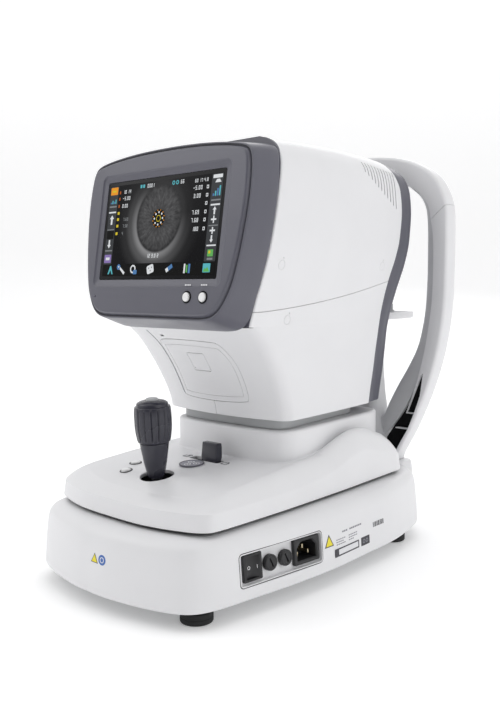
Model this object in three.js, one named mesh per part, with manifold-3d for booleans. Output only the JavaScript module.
// Table-top autorefractor: a measuring head on a joystick-driven cross slide, with a chin-rest
// arch on the same base. Millimetres. +Z up, +Y towards the patient, +X to the operator's right.
// The origin is on the table, under the middle of the footprint. The shapes are written from the
// base's own middle, FOOTPRINT_MID_Y nearer the operator, and the last lines move them.
import * as THREE from 'three';
import { mergeVertices } from 'three/addons/utils/BufferGeometryUtils.js';
import Module from 'manifold-3d';

const wasm = await Module();
wasm.setup();
const { degToRad, clamp, lerp, smoothstep } = THREE.MathUtils;

// ---------- driving dimensions ----------
const FOOTPRINT_MID_Y = 18.5;   // middle of the footprint's length, from the base's own middle
const WALL = 3;                 // moulded shell thickness
const GAP = 0.35;               // running gap between neighbours
const BASE_TOP = 73;            // flat top of the base
const BOSS_TOP = 76;            // raised rear boss that carries the arch
const FOOT_R = 14;
const STAGE_BOTTOM = 76;        // lower edge of the moving stage
const BLOCK_TOP = 139;          // top of the pedestal under the head
const HEAD_BOTTOM = 149;
const HEAD_TOP = 402;
const NECK_SKIRT_TOP = 178;
const FACE_TILT = degToRad(9.2);                  // the display leans back
const FACE = new THREE.Vector3(0, -110, 325);     // middle of the display
const BEZEL_DEPTH = 35;
const BEZEL_PROUD = 2;          // bezel face in front of the display surface
const AXIS_Z = 335;             // measuring axis height
const STICK = new THREE.Vector3(0, -118, 87);     // joystick ball centre
const STICK_LEAN = degToRad(2.8);
const SHAFT_Y = 10, SHAFT_Z = 84.2;               // cross shaft
const WHEEL_R = 9, WHEEL_X = 44;                  // toothed wheels on the cross shaft
const ROD_Y = 30, ROD_Z = 84;                     // plain rod behind the cross shaft
const COLUMN_X = 45, LIFT_Y = 75;                 // guide columns either side of the lift screw
const ARCH_FRONT = 176, ARCH_BACK = 200;          // y of the arch's operator and patient sides
const POST_Y = 186;                               // middle of the chin post and its column

// ---------- finishes ----------
const WHITE = 0xe4e4e7, SLATE = 0x63636d, DARK = 0x3d3d45, BLACK = 0x1a1a1c;
const GREY = 0xb9babd, STEEL = 0xa9abad, GLASS = 0x101216;
const FINISH = {
  whiteShell: { color: WHITE, roughness: 0.42 },
  whitePanel: { color: WHITE, roughness: 0.45 },
  whiteSmooth: { color: WHITE, roughness: 0.4 },
  slateCover: { color: SLATE, roughness: 0.45 },
  slateBezel: { color: SLATE, roughness: 0.5 },
  darkGrip: { color: DARK, roughness: 0.45 },
  darkMatt: { color: DARK, roughness: 0.5 },
  darkButton: { color: DARK, roughness: 0.4 },
  motor: { color: DARK, roughness: 0.5, metalness: 0.5 },
  rubber: { color: BLACK, roughness: 0.85 },
  black: { color: BLACK, roughness: 0.5 },
  blackSmooth: { color: BLACK, roughness: 0.4 },
  blackMatt: { color: BLACK, roughness: 0.6 },
  greyPlate: { color: GREY, roughness: 0.6 },
  greyCover: { color: GREY, roughness: 0.45 },
  greySkirt: { color: GREY, roughness: 0.55 },
  steelCase: { color: STEEL, roughness: 0.5, metalness: 0.8 },
  steelModule: { color: STEEL, roughness: 0.5, metalness: 0.6 },
  steelCut: { color: STEEL, roughness: 0.4, metalness: 0.9 },
  steelTurned: { color: STEEL, roughness: 0.35, metalness: 0.9 },
  steelGround: { color: STEEL, roughness: 0.3, metalness: 0.95 },
  steelPolished: { color: STEEL, roughness: 0.25, metalness: 0.95 },
  windowGlass: { color: GLASS, roughness: 0.1 },
  screenGlass: { color: GLASS, roughness: 0.08 },
  sheetMetal: { color: 0x8f9194, roughness: 0.5, metalness: 0.6 },
  frame: { color: 0x9a9ca0, roughness: 0.4, metalness: 0.8 },
  tube: { color: 0x2b2b2f, roughness: 0.5, metalness: 0.6 },
  pad: { color: 0x8c949c, roughness: 0.7 },
  badge: { color: 0x8f9097, roughness: 0.35 },
  circuitBoard: { color: 0x2f6b45, roughness: 0.6 },
  paper: { color: 0xf3f3ee, roughness: 0.8 },
};

const group = new THREE.Group();
function part(name, geometry, { color, roughness, metalness = 0 }) {
  const material = new THREE.MeshStandardMaterial({ color, roughness, metalness });
  const mesh = new THREE.Mesh(geometry, material);
  mesh.name = name;
  group.add(mesh);
}

// ---------- solids ----------
// closed triangle mesh, turned outward if its signed volume is negative
function solid(verts, tris) {
  let sixVolumes = 0;
  for (const tri of tris) {
    const [a, b, c] = tri.map((i) => new THREE.Vector3(...verts[i]));
    sixVolumes += a.dot(b.cross(c));
  }
  const outward = sixVolumes < 0 ? tris.map(([a, b, c]) => [a, c, b]) : tris;
  const geometry = new THREE.BufferGeometry();
  const positions = new Float32Array(verts.flat());
  geometry.setAttribute('position', new THREE.BufferAttribute(positions, 3));
  geometry.setIndex(outward.flat());
  return geometry;
}

// triangles of a near-planar ring, wound the same way as the ring
function capTriangles(ring) {
  const count = ring.length;
  const size = [0, 0, 0];
  ring.forEach((p, i) => {
    const q = ring[(i + 1) % count];
    size[0] += (p[1] - q[1]) * (p[2] + q[2]);
    size[1] += (p[2] - q[2]) * (p[0] + q[0]);
    size[2] += (p[0] - q[0]) * (p[1] + q[1]);
  });
  // flatten along the normal's largest component
  const [nx, ny, nz] = size.map(Math.abs);
  const [u, v] = nz >= nx && nz >= ny ? [0, 1] : ny >= nx ? [2, 0] : [1, 2];
  const flat = ring.map((p) => new THREE.Vector2(p[u], p[v]));
  const faces = THREE.ShapeUtils.triangulateShape(flat, []);
  for (const [a, b, c] of faces) {
    const sides = [[a, b], [b, c], [c, a]];
    if (sides.some(([p, q]) => q === (p + 1) % count)) return faces;
    if (sides.some(([p, q]) => p === (q + 1) % count)) return faces.map(([p, q, r]) => [p, r, q]);
  }
  return faces;
}

// rings of equal length joined in order, closed at both ends
function loft(rings) {
  const count = rings[0].length;
  const end = (rings.length - 1) * count;
  const tris = [];
  for (let low = 0; low < end; low += count) {
    const high = low + count;
    for (let j = 0; j < count; j++) {
      const next = (j + 1) % count;
      tris.push([low + j, low + next, high + next], [low + j, high + next, high + j]);
    }
  }
  for (const [a, b, c] of capTriangles(rings[0])) tris.push([a, c, b]);
  for (const [a, b, c] of capTriangles(rings.at(-1))) tris.push([end + a, end + b, end + c]);
  return solid(rings.flat(), tris);
}

function toManifold(geometry) {
  const bare = geometry.clone();
  for (const key of Object.keys(bare.attributes)) if (key !== 'position') bare.deleteAttribute(key);
  const merged = mergeVertices(bare, 1e-4);
  return new wasm.Manifold(new wasm.Mesh({
    numProp: 3,
    vertProperties: new Float32Array(merged.attributes.position.array),
    triVerts: new Uint32Array(merged.index.array),
  }));
}
function fromManifold(manifold) {
  const mesh = manifold.getMesh();
  const geometry = new THREE.BufferGeometry();
  const positions = new Float32Array(mesh.vertProperties);
  geometry.setAttribute('position', new THREE.BufferAttribute(positions, 3));
  geometry.setIndex(new THREE.BufferAttribute(new Uint32Array(mesh.triVerts), 1));
  return geometry;
}
const combine = (operation) => (first, ...others) => fromManifold(
  others.reduce((result, other) => result[operation](toManifold(other)), toManifold(first)));
const join = combine('add');
const cut = combine('subtract');
const overlap = combine('intersect');

const box = (x0, x1, y0, y1, z0, z1) => new THREE.BoxGeometry(x1 - x0, y1 - y0, z1 - z0)
  .translate((x0 + x1) / 2, (y0 + y1) / 2, (z0 + z1) / 2);
// round bar along an axis letter, centred on a point
function rod(axis, radius, length, centre, segments) {
  const geometry = new THREE.CylinderGeometry(radius, radius, length, segments);
  if (axis === 'z') geometry.rotateX(Math.PI / 2);
  if (axis === 'x') geometry.rotateZ(-Math.PI / 2);
  return geometry.translate(...centre);
}
// turned solid about the z axis; profile rows are [radius, z]
const turned = (profile, segments) => new THREE.LatheGeometry(
  profile.map(([r, z]) => new THREE.Vector2(r, z)), segments).rotateX(Math.PI / 2);

// ---------- plans and sections ----------
const atZ = (plan, z) => plan.map(([x, y]) => [x, y, z]);
const atX = (section, x) => section.map(([y, z]) => [x, y, z]);
const slab = (plan, z0, z1) => loft([atZ(plan, z0), atZ(plan, z1)]);
const prismX = (section, x0, x1) => loft([atX(section, x0), atX(section, x1)]);
// rows are [z, value]; planOf turns the value into that height's plan
const stack = (rows, planOf) => loft(rows.map(([z, value]) => atZ(planOf(value), z)));
const shiftY = (plan, dy) => plan.map(([x, y]) => [x, y + dy]);
// plan shrunk by about `inset` at its half width and half length
const insetPlan = (plan, inset, halfWidth, halfLength, midY = 0) => plan.map(([x, y]) =>
  [x * (1 - inset / halfWidth), midY + (y - midY) * (1 - inset / halfLength)]);

// closed plan from its right half, which runs from front middle to rear middle
const mirrored = (half) => [...half, ...half.slice(1, -1).reverse().map(([x, y]) => [-x, y])];
// the same as a smooth curve of evenly spaced points
function outline(half, count) {
  const points = mirrored(half).map(([x, y]) => new THREE.Vector3(x, y, 0));
  const curve = new THREE.CatmullRomCurve3(points, true, 'centripetal');
  return curve.getSpacedPoints(count).slice(0, count).map((p) => [p.x, p.y]);
}
function roundRect(halfW, halfH, radius, segments = 5) {
  const right = halfW - radius, top = halfH - radius;
  const corners = [[right, top, 0], [-right, top, 90], [-right, -top, 180], [right, -top, 270]];
  return corners.flatMap(([cx, cy, start]) => Array.from({ length: segments + 1 }, (_, i) => {
    const angle = degToRad(start + 90 * i / segments);
    return [cx + radius * Math.cos(angle), cy + radius * Math.sin(angle)];
  }));
}
// rounded rectangles in z order; rows are [z, half width, half depth]
const roundRectLoft = (rows, radius, segments, midY) => loft(rows.map(([z, halfW, halfD]) =>
  atZ(shiftY(roundRect(halfW, halfD, radius, segments), midY), z)));
const roundBar = (halfW, halfD, radius, z0, z1, midY = 0) =>
  roundRectLoft([[z0, halfW, halfD], [z1, halfW, halfD]], radius, 4, midY);

// piecewise-linear lookup in rows of [input, output], held at both ends
function lookup(rows) {
  return (t) => {
    if (t <= rows[0][0]) return rows[0][1];
    const i = rows.findIndex(([input]) => t <= input);
    if (i < 0) return rows.at(-1)[1];
    const [a, low] = rows[i - 1];
    const [b, high] = rows[i];
    return low + (high - low) * (t - a) / (b - a);
  };
}

// ---------- base ----------
// right half of the plan, [x, y]
const basePlan = outline([
  [0, -196], [16, -196], [40, -193], [61, -189], [80, -183.5], [95, -177], [104, -169],
  [108.5, -160], [111, -150], [113, -135], [114.5, -116], [117, -88], [119, -58], [120, -24],
  [119.5, 0], [118, 22], [116, 49], [113.5, 87], [109, 114], [104, 134], [99, 152], [92, 170],
  [82, 184], [66, 194], [40, 200], [0, 202]], 36);
const baseInset = (inset) => insetPlan(basePlan, inset, 120, 199, 3);
// [z, inset]
const baseOuter = stack([[15, 0], [26, 0.5], [36, 1.1], [46, 2], [55, 2.9], [61, 3.8], [65, 5],
  [68, 7], [70.3, 10], [71.8, 14.5], [72.6, 21], [BASE_TOP, 30]], baseInset);
const baseInner = stack([[10, 3], [36, 4.1], [55, 5.9], [61, 7.2], [65, 9.8], [67.5, 13.2],
  [69, 18], [69.8, 25], [BASE_TOP - WALL, 33]], baseInset);
const baseBoss = roundRectLoft(
  [[40, 70, 15], [66, 69, 14.8], [74.6, 67.5, 14.4], [BOSS_TOP, 65.5, 13]], 9, 4, 186.5);

// side power panel frame: local x outward, y along the wall, z up the wall
const panelOut = new THREE.Vector3(0.9945, -0.0625, 0.0842).normalize();
const panelAlong = new THREE.Vector3(0.0627, 0.998, 0).normalize();
panelOut.addScaledVector(panelAlong, -panelOut.dot(panelAlong)).normalize();
const panelUp = panelOut.clone().cross(panelAlong).normalize();
const panelFrame = new THREE.Matrix4().makeBasis(panelOut, panelAlong, panelUp)
  .setPosition(115.14, -76.06, 40.28);
const onPanel = (geometry) => geometry.applyMatrix4(panelFrame);
const panelPlate = (halfL, halfH, radius, x0, x1) =>
  prismX(roundRect(halfL, halfH, radius), x0, x1);

part('base_shell', cut(join(cut(baseOuter, baseInner), baseBoss),
  onPanel(panelPlate(50, 14.6, 4, -12, 12))), FINISH.whiteShell);
part('base_plate', slab(baseInset(3.9), 15.3, 17.8), FINISH.sheetMetal);

const FOOT_PROFILE = [[0, 0], [FOOT_R - 1.5, 0], [FOOT_R, 1.5], [FOOT_R, 9], [FOOT_R - 2, 12],
  [FOOT_R - 2, 15], [0, 15]];
for (const [end, footX, footY] of [['front', 86, -150], ['rear', 80, 139]]) {
  for (const [hand, side] of [['left', -1], ['right', 1]]) {
    part(`foot_${end}_${hand}`, turned(FOOT_PROFILE, 20).translate(side * footX, footY, 0),
      FINISH.rubber);
  }
}

// panel: a tray whose floor carries the rocker, two fuse caps and the mains inlet
const ROCKER_Y = -33.5, INLET_Y = 30.5, TRAY_FLOOR_X = -3.8;
const FUSES = [['fuse_cap_front', -14], ['fuse_cap_rear', 4]];
part('power_panel', onPanel(cut(panelPlate(49.6, 14.2, 3.7, TRAY_FLOOR_X - 2.4, 0.3),
  panelPlate(48.6, 13.2, 2.8, TRAY_FLOOR_X, 4),
  box(-9, 6, ROCKER_Y - 10.5, ROCKER_Y + 10.5, -10.8, 11.6),
  ...FUSES.map(([, y]) => rod('x', 6.3, 24, [0, y, 0], 20)),
  box(-9, 6, INLET_Y - 16, INLET_Y + 16, -10.7, 12.3))), FINISH.whitePanel);
part('rocker_switch_body', onPanel(cut(
  box(-26, -1.4, ROCKER_Y - 10.2, ROCKER_Y + 10.2, -10.5, 11.3),
  box(-12, 4, ROCKER_Y - 8, ROCKER_Y + 8, -9, 9.8))), FINISH.black);
// the rocker tips about an upright axis; its front end is pressed in. [x, y from its middle]
const ROCKER_PLAN = [[-10, -2], [-8, -5.6], [-3.2, -7.2], [-2.2, -7.2], [-3, 0], [0.2, 7.2],
  [-1.2, 7.2], [-8, 5.6], [-10, 2]];
part('rocker_switch', onPanel(slab(shiftY(ROCKER_PLAN, ROCKER_Y), -8.6, 9.4)),
  FINISH.blackSmooth);
for (const [name, y] of FUSES) {
  const cap = join(rod('x', 7.1, 4.6, [-1, y, 0], 24), rod('x', 5.8, 22, [-13, y, 0], 20));
  const slot = box(0.2, 5, -0.8, 0.8, -4.8, 4.8).rotateX(0.42).translate(0, y, 0);
  part(name, onPanel(cut(cap, slot)), FINISH.black);
}
// [y from the inlet's middle, z]
const PINS = [[-7, -2], [7, -2], [0, 4]];
const SOCKET = [[-11.8, -7.4], [11.8, -7.4], [11.8, 3.8], [6.8, 9], [-6.8, 9], [-11.8, 3.8]];
part('power_inlet', onPanel(join(
  cut(box(-26, -0.8, INLET_Y - 15.7, INLET_Y + 15.7, -10.4, 12),
    prismX(SOCKET.map(([y, z]) => [y + INLET_Y, z]), -19, 4)),
  ...PINS.map(([y, z]) => box(-22, -5.4, INLET_Y + y - 1, INLET_Y + y + 1, z - 2, z + 2)))),
FINISH.black);
part('power_supply', cut(box(-88, -18, -90, 10, 18.2, 52), box(-85, -21, -87, 7, 22, 60)),
  FINISH.steelCase);

// toothed racks and the joystick glide plate on top of the base
const ON_BASE_Z = BASE_TOP + 0.3;
const RACK_TEETH = 16, RACK_PITCH = 4, RACK_HALF = 34;
function rack(x) {
  const section = [[SHAFT_Y - RACK_HALF, ON_BASE_Z]];
  for (let i = 0; i < RACK_TEETH; i++) {
    const y = SHAFT_Y + (i - RACK_TEETH / 2) * RACK_PITCH;
    section.push([y, 74.1], [y + 1, 74.7], [y + 2, 74.7], [y + 3, 74.1]);
  }
  section.push([SHAFT_Y + RACK_HALF, ON_BASE_Z]);
  return prismX(section, x - 4, x + 4);
}
part('rack_left', rack(-WHEEL_X), FINISH.steelCut);
part('rack_right', rack(WHEEL_X), FINISH.steelCut);
part('glide_plate', box(-62, 62, -152, -84, ON_BASE_Z, 74.6), FINISH.greyPlate);

// ---------- chin-rest arch ----------
// outer and inner edges of the white shell, [x, z] from crown to foot, station by station
const ARCH_OUT = [[0, 412], [32, 411], [60, 406.5], [84, 398], [103, 385], [113, 370],
  [118.5, 354.4], [120, 330], [120, 290], [119, 255], [115.5, 224], [108.5, 191], [98.5, 160],
  [86, 130], [73.5, 105], [62, 85], [58.5, 76.4]];
const ARCH_IN = [[0, 379], [30, 379], [54, 378.5], [72, 376], [88, 366], [96.5, 354.5],
  [100, 340], [103, 320], [103.5, 285], [102.5, 255], [99, 228], [93, 196], [84, 164],
  [73, 134], [60, 108], [49, 87], [45.5, 76.4]];
const SPLIT = 6;   // station where the bow meets the legs
const LAST = ARCH_OUT.length - 1;

const archWidth = (i) =>
  Math.hypot(ARCH_OUT[i][0] - ARCH_IN[i][0], ARCH_OUT[i][1] - ARCH_IN[i][1]);
// [x, z] at a distance from station i's outer edge towards its inner edge
function inward(i, distance) {
  const share = distance / archWidth(i);
  return [0, 1].map((axis) => lerp(ARCH_OUT[i][axis], ARCH_IN[i][axis], share));
}
// ring of [[x, z], y] corners on the left (side -1) or right (side 1)
const archRing = (side, corners) => corners.map(([[x, z], y]) => [side * x, y, z]);
const stations = (from, to, ringAt) =>
  Array.from({ length: to - from + 1 }, (_, i) => ringAt(from + i));

const archSections = (from, to, side) => stations(from, to, (i) => archRing(side, [
  [inward(i, 2.5), ARCH_FRONT], [ARCH_OUT[i], ARCH_FRONT + 3], [ARCH_OUT[i], ARCH_FRONT + 12],
  [inward(i, 5), ARCH_BACK], [ARCH_IN[i], ARCH_BACK], [ARCH_IN[i], ARCH_FRONT]]));
part('arch_bow', loft([...archSections(1, SPLIT, -1).reverse(), ...archSections(0, SPLIT, 1)]),
  FINISH.whiteShell);

// the lower third of a leg is a channel, open to the inside, stiffened by two ribs
const edgeX = (edge) => lookup(edge.map(([x, z]) => [z, x]).reverse());
function archLeg(side) {
  const sections = archSections(SPLIT, LAST, side);
  const whole = loft(sections);
  const top = sections[0].map(([x, y, z]) => [x, y, z - 0.5]);
  const pocket = loft(stations(12, 15, (i) => {
    const deep = inward(i, WALL);
    const open = inward(i, archWidth(i) + 6);
    return archRing(side, [[deep, ARCH_FRONT + 3], [deep, ARCH_BACK - 4],
      [open, ARCH_BACK - 4], [open, ARCH_FRONT + 3]]);
  }));
  let leg = cut(loft([top, ...sections.slice(1)]), pocket);
  for (const z of [112, 128]) {
    const ends = [side * edgeX(ARCH_OUT)(z), side * edgeX(ARCH_IN)(z)];
    const rib = box(Math.min(...ends), Math.max(...ends), ARCH_FRONT + 1, ARCH_BACK - 2,
      z - 1, z + 1);
    leg = join(leg, overlap(rib, whole));
  }
  return leg;
}
part('arch_leg_left', archLeg(-1), FINISH.whiteShell);
part('arch_leg_right', archLeg(1), FINISH.whiteShell);

// light grey inner cover: a strip inside each leg that sweeps in to the chin-rest column
// outer and inner edges, [x, z] from the top down
const COVER_OUT = [[73, 375.2], [87.3, 365.4], [95.8, 354.2], [99.4, 340], [102.4, 320],
  [102.9, 285], [101.9, 255], [98.4, 228], [92.4, 196], [83.4, 165], [72, 142], [58, 122],
  [42, 104], [22, 92]];
const COVER_IN = [[72.2, 374.2], [84, 363.4], [89.5, 352], [91.5, 338], [92, 319], [92, 276],
  [90, 244], [87, 226], [81, 204], [70, 182], [57, 160], [47, 141], [38, 124], [20, 120]];
const coverStrip = (side) => loft(COVER_OUT.map((outer, i) => {
  const inner = COVER_IN[i];
  const sweep = clamp((i - 8) / 4, 0, 1);
  return archRing(side,
    [[outer, 179 + sweep * 2], [outer, 192], [inner, 192], [inner, 184 - sweep * 3]]);
}));
// a leg's own space plus a running gap
const legSpace = (side) => loft(stations(SPLIT, LAST, (i) => {
  const outer = [ARCH_OUT[i][0] + 4, ARCH_OUT[i][1]];
  const inner = inward(i, archWidth(i) + GAP);
  return archRing(side, [[outer, ARCH_FRONT - 2], [outer, ARCH_BACK + 2],
    [inner, ARCH_BACK + 2], [inner, ARCH_FRONT - 2]]);
}));
const column = roundRectLoft([[76.4, 44, 13.2], [100, 41, 15], [126, 35.5, 15.5],
  [150, 31.5, 15.5], [177, 29, 15.5], [205, 27.5, 15.5]], 8, 4, POST_Y);
const postBore = roundBar(11, 7, 3, 84, 230, POST_Y);
const chinCase = cut(join(coverStrip(1), coverStrip(-1), column), postBore);
part('arch_inner_cover', cut(chinCase, legSpace(1), legSpace(-1)), FINISH.greyCover);

// forehead pad section, [distance proud of its back, z]; it thins and droops towards its ends
const PAD_HALF = 54;
const PAD_SECTION = [[0, 392], [6, 390], [8, 384], [8, 376], [5, 371], [0, 370.5]];
part('forehead_pad', loft([-PAD_HALF, -44, -20, 0, 20, 44, PAD_HALF].map((x) => {
  const swell = 1 - 0.45 * Math.pow(Math.abs(x) / PAD_HALF, 3);
  const droop = 6 * Math.pow(x / PAD_HALF, 2);
  return PAD_SECTION.map(([proud, z]) => [x, ARCH_BACK + 0.4 + proud * swell, z - droop]);
})), FINISH.pad);

// chin support: post in the column, cup, paper pins
part('chin_post', roundBar(10.5, 6.5, 2.7, 122, 228.6, POST_Y), FINISH.steelTurned);
const CUP_Y = 203;
part('chin_cup', cut(
  roundRectLoft([[229, 30, 18], [231, 44, 27], [237, 48, 30], [240.5, 48, 30]], 14, 5, CUP_Y),
  roundRectLoft([[233.2, 26, 14], [236, 38, 22], [243, 42, 26]], 12, 5, CUP_Y)),
FINISH.whiteSmooth);
const PIN_PROFILE = [[0, 0], [3.2, 0], [3.2, 2.4], [1.7, 3], [1.7, 9], [0, 9.6]];
for (const [name, x] of [['chin_pin_left', -45], ['chin_pin_right', 45]]) {
  part(name, turned(PIN_PROFILE, 12).translate(x, 187, 240.9), FINISH.darkMatt);
}

// ---------- cross slide ----------
const alongShaft = (radius, length, x = 0) => rod('x', radius, length, [x, SHAFT_Y, SHAFT_Z], 16);
const alongRod = (radius, length) => rod('x', radius, length, [0, ROD_Y, ROD_Z], 16);
const carriagePlate = cut(box(-53, 53, 0, 38, 76.8, 79.2), box(-50, -38, -1, 20.5, 70, 82),
  box(38, 50, -1, 20.5, 70, 82), box(-28, 28, 3, 20, 70, 82));
const bearing = (x, midY, halfY) => box(x - 3.5, x + 3.5, midY - halfY, midY + halfY, 78, 90);
part('cross_carriage', cut(
  join(carriagePlate, ...[-34, 34].map((x) => bearing(x, SHAFT_Y, 6)),
    ...[-49.5, 49.5].map((x) => bearing(x, ROD_Y, 5.5)), alongRod(3, 94)),
  alongShaft(4.4, 100)), FINISH.frame);
part('cross_shaft', alongShaft(4, 104), FINISH.steelGround);

// one tooth of the drive wheel: [share of the pitch from its middle, radius]
const WHEEL_TEETH = 14;
const WHEEL_TOOTH = [[-0.22, 8.2], [-0.12, WHEEL_R], [0.12, WHEEL_R], [0.22, 8.2]];
function wheel(x) {
  const section = [];
  for (let i = 0; i < WHEEL_TEETH; i++) {
    for (const [share, radius] of WHEEL_TOOTH) {
      // half a pitch of turn puts a gap at the bottom
      const angle = (i + 0.5 + share) / WHEEL_TEETH * 2 * Math.PI - Math.PI / 2;
      section.push([SHAFT_Y + radius * Math.cos(angle), SHAFT_Z + radius * Math.sin(angle)]);
    }
  }
  return cut(prismX(section, x - 4, x + 4), alongShaft(4.35, 20, x));
}
part('drive_wheel_left', wheel(-WHEEL_X), FINISH.steelTurned);
part('drive_wheel_right', wheel(WHEEL_X), FINISH.steelTurned);

// ---------- stage ----------
// right half of the plan, [x, y]
const stagePlan = outline([
  [0, -172.5], [17, -172.5], [41, -171], [62, -167], [80, -161.5], [90, -157.5], [97, -153],
  [101.5, -147.5], [103, -138], [103.2, -124], [102.8, -100], [101.6, -60], [99.5, -20],
  [96.5, 28], [94.5, 55], [92.5, 76], [90.8, 96], [89.4, 112], [88, 126], [87, 139],
  [83.5, 149], [75, 153.5], [58, 155.5], [30, 156], [0, 156]], 48);
const STAGE_HALF_W = 108, STAGE_HALF_L = 160, STAGE_MID_Y = -10;
// along y: height of the middle, rise of the side shoulders, x where they start, rim height
const topZ = lookup([[-172, 91], [-160, 93.5], [-140, 98.5], [-118, 102.6], [-95, 104.8],
  [-76, 106.3], [-55, 107.3], [-30, 108.5], [150, 109]]);
const shoulder = lookup([[-150, 0], [-110, 0.8], [-60, 1.6], [-30, 2.2], [8, 4], [26, 9.5],
  [46, 16.5], [66, 20], [87, 19], [109, 13], [127, 5], [140, 0], [150, 0]]);
const valley = lookup([[-150, 92], [-100, 86], [-56, 80], [-14, 73], [30, 68], [150, 64]]);
const edgeZ = lookup([[-172, 90.5], [-60, 90.5], [0, 94], [30, 100], [60, 108], [90, 107],
  [125, 98], [150, 92]]);
const stageTop = (x, y) =>
  topZ(y) + shoulder(y) * smoothstep(Math.abs(x), valley(y), valley(y) + 13);

// rim rings: [scale of the plan, share of the way up from edge to crest]; then the top's scales
const CREST = 0.86;
const STAGE_RIM = [[0.985, 0], [0.965, 0.38], [0.92, 0.8], [CREST, 1]];
const STAGE_TOP_SCALES = [0.78, 0.68, 0.36];
// stage body set in by a depth at its sides and top
function stageBody(depth, floorZ) {
  const scaleY = (y, scale) => STAGE_MID_Y + (y - STAGE_MID_Y) * scale;
  const ring = (scale, heightAt) => stagePlan.map(([planX, planY]) => {
    const x = planX * scale * (1 - depth / STAGE_HALF_W);
    const y = scaleY(planY, scale * (1 - depth / STAGE_HALF_L));
    return [x, y, heightAt(x, y, planX, planY)];
  });
  const rimHeight = (share) => (x, y, planX, planY) =>
    lerp(edgeZ(planY), stageTop(planX * CREST, scaleY(planY, CREST)), share) - depth;
  return loft([ring(1, () => floorZ),
    ...STAGE_RIM.map(([scale, share]) => ring(scale, rimHeight(share))),
    ...STAGE_TOP_SCALES.map((scale) => ring(scale, (x, y) => stageTop(x, y) - depth))]);
}

// pedestal block and the skirt above it: right halves, [x, y], alike towards the patient
const BLOCK_REAR = [[73, 46], [67, 100], [62, 132], [55, 142], [30, 146], [0, 147]];
const blockPlan = outline([[0, -40], [31, -39], [51, -36], [63, -32.5], [71, -27], [76, -18],
  [77, -6], ...BLOCK_REAR], 30);
const skirtPlan = outline([[0, -29], [31, -28.3], [55, -26.5], [66, -24.5], [74, -21],
  [78.5, -14], [78.2, 0], ...BLOCK_REAR], 24);
const blockInset = (inset) => insetPlan(blockPlan, inset, 78, 88, 59);
const stageOuter = join(stageBody(0, STAGE_BOTTOM),
  stack([[92, -1], [135.5, 0], [138.2, 0.9], [BLOCK_TOP, 3]], blockInset));
const stageInner = join(stageBody(WALL, STAGE_BOTTOM - 6),
  stack([[90, 2], [BLOCK_TOP - WALL, 3]], blockInset));
const STAGE_BUTTONS = [['stage_button_front', -38, -123.5], ['stage_button_rear', -49, -103.5]];
const stickHole = rod('z', 15.6, 40, [0, STICK.y, 100], 28);
const leverSlot = box(-18.5, 21, -62.5, -52, 90, 130);
const liftWell = roundBar(56, 44, 12, 128, 150, 60);
part('stage_shell', cut(stageOuter, stageInner, stickHole, leverSlot, liftWell,
  ...STAGE_BUTTONS.map(([, x, y]) => rod('z', 5.2, 30, [x, y, 100], 20))), FINISH.whiteShell);

// the floor carries a bridge over the cross slide, with a block that rides on the rod
const floorPlan = stagePlan.map(([x, y]) => [x * (1 - 5.4 / STAGE_HALF_W),
  STAGE_MID_Y + (y - STAGE_MID_Y) * (1 - 5.6 / STAGE_HALF_L)]);
part('stage_floor', cut(
  join(slab(floorPlan, 77, 79.4), box(-8, 8, -10.5, -3.5, 78.4, 99),
    box(-8, 8, 41.5, 48.5, 78.4, 99), box(-8, 8, -10.5, 48.5, 95.4, 99),
    box(-7, 7, ROD_Y - 5, ROD_Y + 5, 79.5, 96)),
  box(-91.6, 91.6, -3, 41, 70, 79.5), alongRod(3.45, 60),
  rod('z', 12, 20, [0, STICK.y, 78], 20)), FINISH.sheetMetal);

const skirtScaled = (scale) =>
  skirtPlan.map(([x, y]) => [x * 0.87 * scale, 40 + (y - 59) * 0.8 * scale]);
part('lift_skirt', cut(stack([[BLOCK_TOP + GAP, 1], [NECK_SKIRT_TOP, 1]], skirtScaled),
  stack([[130, 0.965], [190, 0.965]], skirtScaled)), FINISH.greySkirt);

// lift: upright bars in one row
const upright = (x, radius, length, midZ) => rod('z', radius, length, [x, LIFT_Y, midZ], 16);
part('guide_column_left', upright(-COLUMN_X, 6, 165, 162.3), FINISH.steelPolished);
part('guide_column_right', upright(COLUMN_X, 6, 165, 162.3), FINISH.steelPolished);
part('lift_motor', cut(box(-21, 21, LIFT_Y - 21, LIFT_Y + 21, 79.8, 104),
  upright(0, 5.6, 60, 110)), FINISH.motor);
part('lift_screw', upright(0, 5, 146, 163), FINISH.steelGround);

part('stage_badge', rod('z', 12, 1.6, [3, -78, 107.9], 28), FINISH.badge);
// lock lever: [z, half width, depth]; above LEVER_BEND_Z it leans towards the patient
const LEVER = [[95, 9.5, 7.9], [108.5, 9.7, 8.2], [111, 10, 8.8], [121, 9.8, 6], [124.4, 9, 4.2]];
const LEVER_X = 8, LEVER_FRONT = -61.4, LEVER_BEND_Z = 110;
part('lock_lever', loft(LEVER.map(([z, halfW, depth]) => {
  const front = LEVER_FRONT + Math.max(0, z - LEVER_BEND_Z) * 0.12;
  return [[LEVER_X - halfW, front, z], [LEVER_X + halfW, front, z],
    [LEVER_X + halfW, front + depth, z], [LEVER_X - halfW, front + depth, z]];
})), FINISH.darkMatt);
for (const [name, x, y] of STAGE_BUTTONS) {
  part(name, rod('z', 4.7, 8.4, [x, y, stageTop(x, y) - 2.6], 20), FINISH.whiteSmooth);
}

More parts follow.
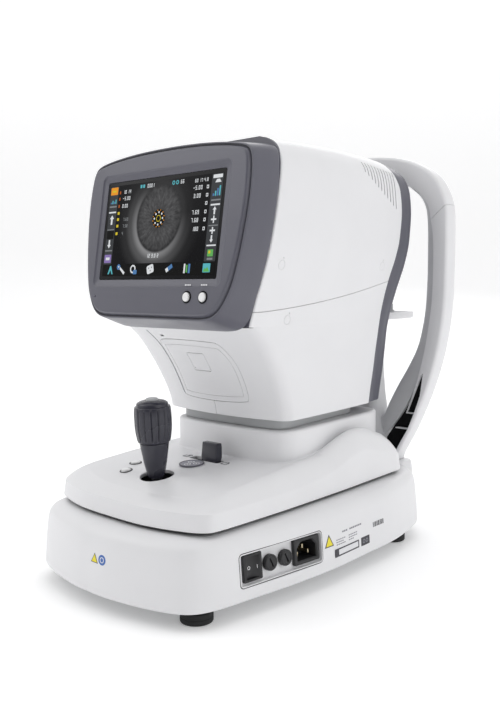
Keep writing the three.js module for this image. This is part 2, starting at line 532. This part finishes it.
// ---------- joystick: gimbal ring, stem with ball foot, twist grip, top button ----------
// written about the ball centre, profiles [radius, z]
const stickFrame = new THREE.Matrix4().makeRotationX(STICK_LEAN).setPosition(STICK);
const onStick = (geometry) => geometry.applyMatrix4(stickFrame);
part('joystick_gimbal', onStick(cut(rod('z', 10.5, 6, [0, 0, 0], 20),
  rod('z', 7.8, 12, [0, 0, 0], 20))), FINISH.steelCut);
part('joystick_stem', onStick(turned([[0, -11.6], [3.2, -10.4], [4, -8.4], [3.2, -5],
  [5.5, -4.4], [7.2, 0], [5, 6], [5, 12], [9, 17], [9.3, 22], [11.6, 32], [13.4, 46], [6, 46],
  [6, 75.6], [0, 75.6]], 20)), FINISH.darkGrip);
const grip = turned([[6.4, 46.4], [14, 46.4], [15.3, 50.5], [16.3, 57], [16.6, 66],
  [16.3, 76.5], [14.8, 80.6], [10.6, 83.4], [6.4, 84.2], [6.4, 46.4]], 20);
const GROOVES = 10, GROOVE_CIRCLE_R = 16.9;
const grooves = Array.from({ length: GROOVES }, (_, i) => {
  const angle = i / GROOVES * 2 * Math.PI;
  const x = GROOVE_CIRCLE_R * Math.cos(angle), y = GROOVE_CIRCLE_R * Math.sin(angle);
  return rod('z', 1.3, 20, [x, y, 65], 5);
});
part('joystick_grip', onStick(cut(grip, ...grooves)), FINISH.darkGrip);
part('joystick_button', onStick(turned(
  [[0, 78], [5.9, 78], [5.9, 85], [5.2, 86.3], [3.6, 86.9], [0, 87]], 20)), FINISH.darkButton);

// ---------- measuring head ----------
// by height: y of the front edge, the white shell's rear edge and the rear cover's rear edge
const yFront = lookup([[HEAD_BOTTOM, -42], [158, -43.5], [165, -46], [172, -48.5],
  [183, -53.5], [193, -59], [201, -64], [209, -69], [219, -76], [227, -84], [233, -91],
  [237.4, -95.6], [237.6, -95.8], [238.2, -89.4], [262, -85.9], [300, -79.7], [350, -71.6],
  [HEAD_TOP, -63.2]]);
const yRear = lookup([[HEAD_BOTTOM, 111], [175, 109], [213, 106], [240, 106.5], [260, 109],
  [277, 113], [300, 121], [317, 125.5], [345, 127.5], [366, 126], [385, 118], [HEAD_TOP, 110]]);
const yBack = lookup([[HEAD_BOTTOM, 141], [175, 139.5], [205, 136], [225, 134.5], [240, 136],
  [266, 142.5], [292, 151.5], [318, 157], [345, 158], [366, 156.5], [380, 151], [390, 142],
  [HEAD_TOP, 124]]);
// by height: half widths at the front and rear edges
const wFront = lookup([[HEAD_BOTTOM, 83], [165, 84], [192, 86.5], [222, 89], [239, 91.5],
  [256, 95], [275, 99.5], [296, 104.5], [318, 107.5], [345, 109.2], [370, 109], [382, 107],
  [391, 102], [397, 94], [401, 80], [HEAD_TOP, 70]]);
const wRear = lookup([[HEAD_BOTTOM, 69], [165, 72], [192, 78], [213, 82], [240, 86], [260, 89],
  [277, 91.5], [300, 94.5], [320, 96], [345, 97], [370, 96], [382, 94], [391, 88], [397, 80],
  [401, 66], [HEAD_TOP, 58]]);
function sideX(y, z, inset) {
  const share = clamp((y - yFront(z)) / (yRear(z) - yFront(z)), 0, 1.3);
  return wFront(z) + (wRear(z) - wFront(z)) * Math.pow(share, 1.35) - inset;
}
// above CROWN_START the head domes downwards to its front and rear
const CROWN_START = 340;
const crown = (y, z) => z - Math.max(0, (z - CROWN_START) / (HEAD_TOP - CROWN_START))
  * (3.5 * Math.pow((y - 25) / 95, 2));

const HEAD_Z = [HEAD_BOTTOM, 165, 183, 201, 219, 232, 237.6, 238.2, 252, 275, 297, 320, 345,
  370, 384, 393, 399, HEAD_TOP];
const NECK_TOP = 240;   // below it the front is bowed, with rounded corners
// section shaped for height z and placed at placedZ
function headRing({ z, placedZ = z, inset = 0, front, rear, neckCorner }) {
  const [radius, bow] = z < NECK_TOP ? [neckCorner, 6] : [2, 0];
  const cornerX = sideX(front + radius, z, inset) - radius;
  const cornerY = front + radius;
  const half = [];
  for (let i = 0; i <= 3; i++) half.push([cornerX * i / 3, front + bow * Math.pow(i / 3, 2)]);
  for (let i = 1; i <= 3; i++) {
    const angle = Math.PI / 2 * (i / 3 - 1);
    half.push([cornerX + radius * Math.cos(angle), cornerY + (radius - bow) * Math.sin(angle)]);
  }
  for (let i = 1; i <= 4; i++) {
    const y = cornerY + (rear - cornerY) * i / 4;
    half.push([sideX(y, z, inset), y]);
  }
  half.push([sideX(rear, z, inset) * 0.5, rear], [0, rear]);
  return mirrored(half).map(([x, y]) => [x, y, crown(y, placedZ)]);
}
const headOuter = loft(HEAD_Z.map((z) =>
  headRing({ z, front: yFront(z), rear: yRear(z), neckCorner: 11 })));
// the hollow runs out below and behind, and has no station at 393
const headInner = loft(HEAD_Z.filter((z) => z !== 393).map((z) => headRing({
  z,
  placedZ: z === HEAD_BOTTOM ? 140 : z - (z > 380 ? WALL : 0),
  inset: WALL,
  front: yFront(z) + (z < NECK_TOP ? WALL : -8),
  rear: yRear(z) + 8,
  neckCorner: 8,
})));
const headShell = cut(headOuter, headInner);

// upper and lower shells meet on a curve that rises towards the patient
function seamAt(y) {
  const run = Math.max(-75, y) + 85;
  return 250.4 + 0.045 * run + 0.00042 * run * run;
}
const SEAM_Y = [-160, -85, -60, -35, -10, 15, 40, 65, 90, 115, 140, 200];
// everything between the seam, moved by an offset, and a far height
const besideSeam = (offset, farZ) => prismX(
  [...SEAM_Y.map((y) => [y, seamAt(y) + offset]), [200, farZ], [-160, farZ]], -150, 150);

// printer door in the neck's front and the latch in the door; rows are [z, half width]
const frontBlock = (rows, front, rear) => loft(rows.map(([z, w]) =>
  [[-w, front, z], [w, front, z], [w, rear, z], [-w, rear, z]]));
const doorBlock = (gap) => frontBlock([[165.5 - gap, 43 + gap], [222 + gap, 46 + gap]], -110, -30);
const latchBlock = (gap) => frontBlock([[193 - gap, 11 + gap], [210 + gap, 11 + gap]], -100, -40);

// slanting vent slots in both sides, longer towards the patient
const vents = [];
for (let i = 0; i < 9; i++) {
  const heights = [379 - i * 3.9, 388.5 - i * 0.8];
  for (const side of [-1, 1]) {
    vents.push(loft(heights.map((z) => {
      const y = 64 + i * 5.2 - (z - 370) * 0.06;
      return [[side * 84, y - 0.8, z], [side * 112, y - 0.8, z],
        [side * 112, y + 0.8, z], [side * 84, y + 0.8, z]];
    })));
  }
}
part('head_upper_shell', cut(overlap(headShell, besideSeam(0.2, 450)), ...vents),
  FINISH.whiteShell);
part('head_lower_shell', cut(overlap(headShell, besideSeam(-0.2, 120)), doorBlock(0.4)),
  FINISH.whiteShell);
const doorSkin = overlap(headShell, doorBlock(0));
part('printer_door', cut(doorSkin, latchBlock(0.4)), FINISH.whiteShell);
part('printer_latch', overlap(doorSkin, latchBlock(0)), FINISH.whiteShell);

// slate rear cover with the measuring window
const REAR_Z = [150, 190, 225, 245, 266, 292, 318, 345, 366, 384, 398];
function rearRing({ z, placedZ = z, inset, frontShift, bulge }) {
  const front = yRear(z) + frontShift;
  const back = yBack(z) - inset;
  const w = sideX(yRear(z), z, inset + 0.6);
  const cornerY = back - 9;
  const half = [[0, front], [w * 0.5, front], [w, front],
    [w - 1, front + (cornerY - front) * 0.5], [w - 3.5, cornerY], [w - 6.5, back - 2.6],
    [w - 12.5, back], [(w - 3.5) * 0.5, back + bulge[0]], [0, back + bulge[1]]];
  return mirrored(half).map(([x, y]) => [x, y, crown(Math.min(y, 120), placedZ)]);
}
const rearOuter = loft(REAR_Z.map((z) =>
  rearRing({ z, inset: 0, frontShift: 0.4, bulge: [1.2, 2] })));
const rearInner = loft(REAR_Z.map((z, i) => {
  const lift = i === 0 ? WALL : i === REAR_Z.length - 1 ? -WALL : 0;
  return rearRing({ z, placedZ: z + lift, inset: WALL, frontShift: -12, bulge: [0, 0] });
}));
const onAxis = (radius, length, y, segments) => rod('y', radius, length, [0, y, AXIS_Z], segments);
part('rear_cover', cut(rearOuter, rearInner, onAxis(31, 80, 150, 28)), FINISH.slateCover);
part('window_glass', cut(onAxis(30.5, 6, 151, 28), onAxis(26, 2.6, 153.2, 28)),
  FINISH.windowGlass);

// inside the head
part('optical_tube', cut(onAxis(24, 150, 70, 24), onAxis(20.5, 150, 74, 24)), FINISH.tube);
part('main_board', box(-78, 78, -52, -50.2, 262, 372), FINISH.circuitBoard);
part('head_chassis', cut(
  join(box(-62, 62, 56, 94, 200, 208), box(-62, 62, 86, 92, 207, 302),
    box(-62, 62, -35, 100, 300, 304), box(-40, 40, 88, 100, 303.5, 309.5),
    box(-40, 40, -10, 2, 303.5, 309.5)),
  upright(-COLUMN_X, 6.4, 60, 200), upright(COLUMN_X, 6.4, 60, 200), upright(0, 5.4, 60, 200)),
FINISH.frame);
const alongRoll = (radius, length, segments) =>
  rod('x', radius, length, [0, -22, 212], segments);
part('printer_body', cut(box(-37, 37, -50, 8, 186.5, 238), alongRoll(24, 62, 28),
  box(-31, 31, -60, -22, 189, 233)), FINISH.blackMatt);
part('paper_roll', cut(alongRoll(21, 57, 28), alongRoll(6, 70, 16)), FINISH.paper);

// ---------- bezel with the display ----------
// face frame: x to the right, y up the display, z out towards the operator
const faceFrame = new THREE.Matrix4().makeRotationX(Math.PI / 2 - FACE_TILT).setPosition(FACE);
const onFace = (geometry) => geometry.applyMatrix4(faceFrame);
// right half of the outline from bottom to top, [x, y]
const bezelPlan = outline([[0, -82], [40, -82], [68, -81.6], [78, -79.6], [86, -74.5],
  [93, -65], [99, -52], [104.3, -29], [107.5, -7], [109.3, 12], [109.8, 28], [108.8, 45],
  [107, 55], [103.5, 61.5], [97, 65], [84, 67.7], [68, 69.7], [45, 71.5], [20, 72.4],
  [0, 72.6]], 40);
const bezelInset = (inset) => insetPlan(bezelPlan, inset, 109, 78);
const bezelOuter = stack(
  [[BEZEL_PROUD - BEZEL_DEPTH, 0.4], [-6, 0], [0, 1.2], [BEZEL_PROUD, 4]], bezelInset);
const bezelInner = stack([[-60, 3.2], [-1.4, 3.2]], bezelInset);
const BEZEL_BUTTONS = [['bezel_button_left', 48.5], ['bezel_button_right', 68.5]];
const BUTTON_Y = -62;
part('bezel', onFace(cut(bezelOuter, bezelInner, roundBar(80.5, 46.5, 2, -20, 20),
  ...BEZEL_BUTTONS.map(([, x]) => rod('z', 4.6, 30, [x, BUTTON_Y, 0], 20)))),
FINISH.slateBezel);
part('screen_glass', onFace(roundBar(80.1, 46.1, 1.8, -1.2, 0)), FINISH.screenGlass);
part('display_module', onFace(roundBar(84, 50, 2, -9.5, -1.8)), FINISH.steelModule);
for (const [name, x] of BEZEL_BUTTONS) {
  part(name, onFace(rod('z', 4, 9, [x, BUTTON_Y, -1.9], 20)), FINISH.whiteSmooth);
}

group.position.y = -FOOTPRINT_MID_Y;
const autorefractor = new THREE.Group();
autorefractor.add(group);

export default autorefractor;
